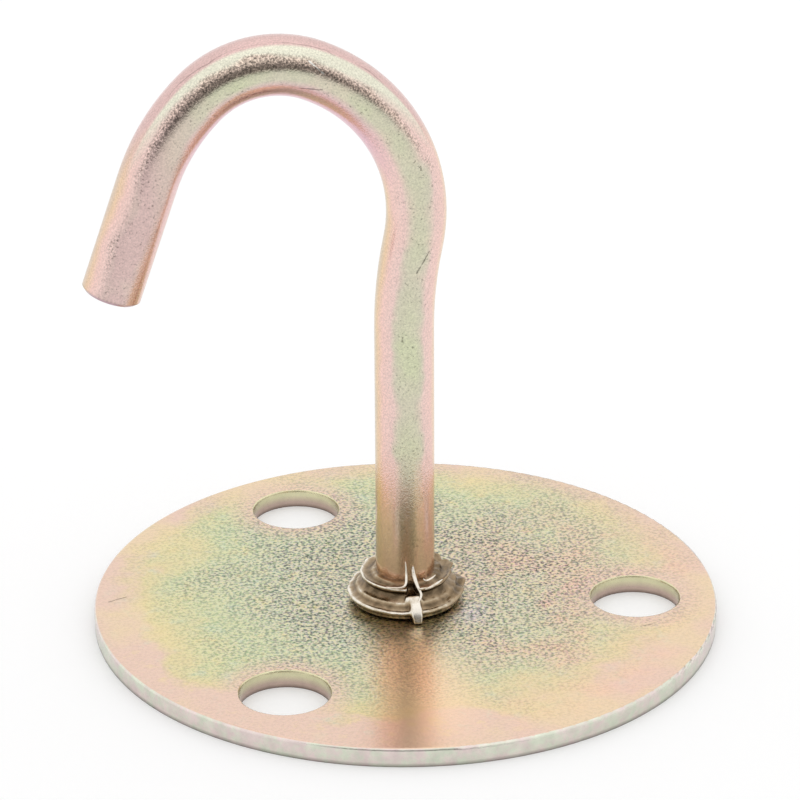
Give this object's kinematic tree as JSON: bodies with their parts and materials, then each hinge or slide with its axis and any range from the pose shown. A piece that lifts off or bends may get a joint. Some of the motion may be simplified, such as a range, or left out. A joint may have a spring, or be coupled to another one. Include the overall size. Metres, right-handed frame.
{
  "type": "ceiling hook",
  "caption": "Round screw-on plate with an open round-rod hook welded upright on its middle, for hanging a lamp, plant or chain from a ceiling.",
  "frame": {"origin": "centre of the plate's mounting face, which is the underside as it stands on its plate", "axes": "+Z away from the ceiling along the shank; the hook is bent in the XZ plane with its mouth towards -X"},
  "size_m": [0.065, 0.065, 0.0649],
  "materials": {
    "plate_zinc": "yellow zinc passivated sheet",
    "rod_zinc": "yellow zinc passivated drawn bar",
    "weld_zinc": "yellow zinc passivated weld flash"
  },
  "bodies": {
    "root": {"base_plate": "plate_zinc", "hook_rod": "rod_zinc", "weld_collar": "weld_zinc"}
  },
  "joints": []
}
